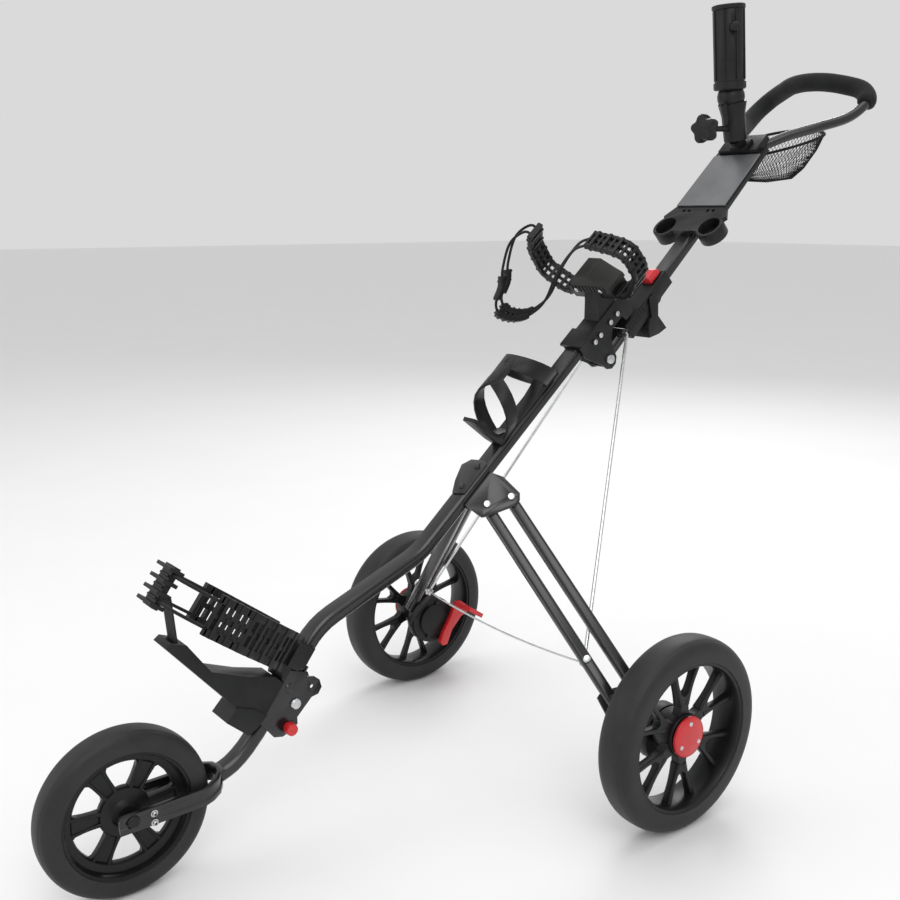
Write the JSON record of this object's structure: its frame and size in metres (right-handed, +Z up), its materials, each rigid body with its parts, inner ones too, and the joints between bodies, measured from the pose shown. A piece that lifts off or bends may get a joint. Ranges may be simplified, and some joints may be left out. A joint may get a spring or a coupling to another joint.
{
  "type": "golf push cart",
  "caption": "Folding three-wheel golf push cart with upper and lower bag cradles, console, umbrella holder and drink holder.",
  "frame": {"origin": "centre of the footprint on the ground plane", "axes": "+X towards the handle at the rear, +Y to the cart's right-hand side, +Z up"},
  "size_m": [1.5422, 0.722, 1.2408],
  "materials": {
    "black_paint": "satin black powder coat",
    "black_plastic": "fine moulded grain",
    "steel": "bright zinc",
    "tyre": "smooth foam-filled tread",
    "red_plastic": "moulded red",
    "grey_plate": "satin grey plate",
    "foam": "soft closed-cell foam",
    "net": "open knitted mesh",
    "grey_rubber": "matt rubber",
    "webbing": "woven cord and webbing"
  },
  "bodies": {
    "frame": {"main_tube": "black_paint", "front_fold_bracket": "black_paint", "front_fold_pin": "steel", "leg_bracket": "black_paint", "left_front_leg_bolt": "steel", "right_front_leg_bolt": "steel", "left_rear_leg_bolt": "steel", "right_rear_leg_bolt": "steel", "upper_bracket": "black_plastic", "handle_pivot_bolt": "steel", "bag_saddle": "grey_rubber", "drink_holder": "black_plastic", "lower_bag_clamp": "black_plastic", "lower_bag_foot": "grey_rubber", "lower_left_arm": "black_plastic", "lower_right_arm": "black_plastic", "lower_strap_cords": "webbing", "lower_strap_buckle": "black_plastic", "lower_foot_strap": "webbing", "upper_left_arm": "black_plastic", "upper_right_arm": "black_plastic", "upper_strap_cords": "webbing", "upper_strap_clip": "black_plastic", "upper_strap_fastener": "black_plastic"},
    "handle": {"handle_tube": "black_paint", "latch_housing": "black_plastic", "console_tray": "black_plastic", "handle_loop": "black_paint", "handle_grip": "foam", "net_pouch": "net", "umbrella_mount": "black_plastic"},
    "left_front_leg": {"left_front_leg": "black_paint", "left_rod_bolt": "steel"},
    "left_rear_leg": {"left_rear_leg": "black_paint"},
    "left_carrier": {"left_hub_carrier": "black_plastic"},
    "left_rod": {"left_push_rod": "steel"},
    "left_wheel": {"left_tyre": "tyre", "left_rim": "black_plastic", "left_hub_cap": "red_plastic"},
    "right_front_leg": {"right_front_leg": "black_paint", "right_rod_bolt": "steel"},
    "right_rear_leg": {"right_rear_leg": "black_paint"},
    "right_carrier": {"right_hub_carrier": "black_plastic"},
    "right_rod": {"right_push_rod": "steel"},
    "right_wheel": {"right_tyre": "tyre", "right_rim": "black_plastic", "right_hub_cap": "red_plastic"},
    "cable": {"cross_cable": "steel"},
    "fork": {"front_fork": "black_paint", "front_axle": "steel"},
    "front_wheel": {"front_tyre": "tyre", "front_rim": "black_plastic"},
    "fold_knob": {"fold_release_knob": "red_plastic"},
    "brake": {"brake_pedal": "red_plastic"},
    "lid": {"console_lid": "grey_plate"},
    "latch": {"latch_lever": "black_plastic"},
    "button": {"release_button": "red_plastic"},
    "umbrella": {"umbrella_tube": "black_plastic"},
    "umbrella_knob": {"umbrella_tube_knob": "black_plastic"},
    "clamp_knob": {"umbrella_clamp_knob": "black_plastic"}
  },
  "joints": [
    {"name": "handle_fold", "type": "hinge", "parent": "frame", "child": "handle", "pos_m": [0.20325, 0, 0.648], "axis": [0, 1, 0], "range_deg": [0, 150]},
    {"name": "left_front_leg_fold", "type": "hinge", "parent": "frame", "child": "left_front_leg", "pos_m": [-0.06555, -0.0268, 0.4381], "axis": [0.4734, 0.704, -0.5295], "range_deg": [0, 37.7]},
    {"name": "left_rear_leg_fold", "type": "hinge", "parent": "frame", "child": "left_rear_leg", "pos_m": [-0.03041, -0.04307, 0.44789], "axis": [0.4734, 0.704, -0.5295], "range_deg": [0, 37.7]},
    {"name": "left_carrier_level", "type": "hinge", "parent": "left_front_leg", "child": "left_carrier", "pos_m": [-0.01089, -0.25427, 0.18454], "axis": [0.4734, 0.704, -0.5295], "range_deg": [-37.7, 0]},
    {"name": "left_rod_swing", "type": "hinge", "parent": "left_front_leg", "child": "left_rod", "pos_m": [-0.01428, -0.19899, 0.22592], "axis": [0.4734, 0.704, -0.5295], "range_deg": [-21.2, 0]},
    {"name": "left_wheel_spin", "type": "hinge", "parent": "left_carrier", "child": "left_wheel", "pos_m": [0.04825, -0.333, 0.146], "axis": [0, 1, 0], "continuous": true},
    {"name": "right_front_leg_fold", "type": "hinge", "parent": "frame", "child": "right_front_leg", "pos_m": [-0.06555, 0.0268, 0.4381], "axis": [-0.4734, 0.704, 0.5295], "range_deg": [0, 37.7]},
    {"name": "right_rear_leg_fold", "type": "hinge", "parent": "frame", "child": "right_rear_leg", "pos_m": [-0.03041, 0.04307, 0.44789], "axis": [-0.4734, 0.704, 0.5295], "range_deg": [0, 37.7]},
    {"name": "right_carrier_level", "type": "hinge", "parent": "right_front_leg", "child": "right_carrier", "pos_m": [-0.01089, 0.25427, 0.18454], "axis": [-0.4734, 0.704, 0.5295], "range_deg": [-37.7, 0]},
    {"name": "right_rod_swing", "type": "hinge", "parent": "right_front_leg", "child": "right_rod", "pos_m": [-0.01428, 0.19899, 0.22592], "axis": [-0.4734, 0.704, 0.5295], "range_deg": [-21.2, 0]},
    {"name": "right_wheel_spin", "type": "hinge", "parent": "right_carrier", "child": "right_wheel", "pos_m": [0.04825, 0.333, 0.146], "axis": [0, 1, 0], "continuous": true},
    {"name": "cable_follow", "type": "slide", "parent": "frame", "child": "cable", "axis": [-0.9828, 0, -0.1844], "range_m": [0, 0.159], "deforming": ["cross_cable"]},
    {"name": "front_fork_fold", "type": "hinge", "parent": "frame", "child": "fork", "pos_m": [-0.40575, 0, 0.202], "axis": [0, -1, 0], "range_deg": [0, 85]},
    {"name": "front_wheel_spin", "type": "hinge", "parent": "fork", "child": "front_wheel", "pos_m": [-0.65575, 0, 0.116], "axis": [0, 1, 0], "continuous": true},
    {"name": "fold_knob_pull", "type": "slide", "parent": "frame", "child": "fold_knob", "axis": [0, -1, 0], "range_m": [0, 0.006], "stiffness_N_per_m": 400},
    {"name": "brake_press", "type": "hinge", "parent": "right_carrier", "child": "brake", "pos_m": [0.07425, 0.284, 0.089], "axis": [0, 1, 0], "range_deg": [0, 20]},
    {"name": "console_lid_open", "type": "hinge", "parent": "handle", "child": "lid", "pos_m": [0.53165, 0, 0.99053], "axis": [0, 1, 0], "range_deg": [0, 45]},
    {"name": "latch_open", "type": "hinge", "parent": "handle", "child": "latch", "pos_m": [0.3019, 0, 0.74162], "axis": [0, -1, 0], "range_deg": [0, 50]},
    {"name": "release_press", "type": "slide", "parent": "handle", "child": "button", "axis": [0.6884, 0, -0.7254], "range_m": [0, 0.004], "stiffness_N_per_m": 500},
    {"name": "umbrella_tilt", "type": "hinge", "parent": "handle", "child": "umbrella", "pos_m": [0.49525, -0.01, 1.087], "axis": [0, 1, 0], "range_deg": [-18, 18]},
    {"name": "umbrella_tube_knob_turn", "type": "hinge", "parent": "umbrella", "child": "umbrella_knob", "pos_m": [0.46282, -0.03755, 1.19821], "axis": [-0.5501, -0.8351, 0], "range_deg": [0, 180]},
    {"name": "umbrella_clamp_knob_turn", "type": "hinge", "parent": "handle", "child": "clamp_knob", "pos_m": [0.43733, -0.01, 1.0305], "axis": [-0.9988, 0, -0.0499], "range_deg": [0, 180]}
  ],
  "couplings": [
    {"joint": "left_front_leg_fold", "follows": "handle_fold", "ratio": 0.25133},
    {"joint": "left_rear_leg_fold", "follows": "handle_fold", "ratio": 0.25133},
    {"joint": "left_carrier_level", "follows": "handle_fold", "ratio": -0.25133},
    {"joint": "left_rod_swing", "follows": "handle_fold", "ratio": -0.14133},
    {"joint": "right_front_leg_fold", "follows": "handle_fold", "ratio": 0.25133},
    {"joint": "right_rear_leg_fold", "follows": "handle_fold", "ratio": 0.25133},
    {"joint": "right_carrier_level", "follows": "handle_fold", "ratio": -0.25133},
    {"joint": "right_rod_swing", "follows": "handle_fold", "ratio": -0.14133},
    {"joint": "cable_follow", "follows": "handle_fold", "m_per_rad": 0.060735}
  ]
}
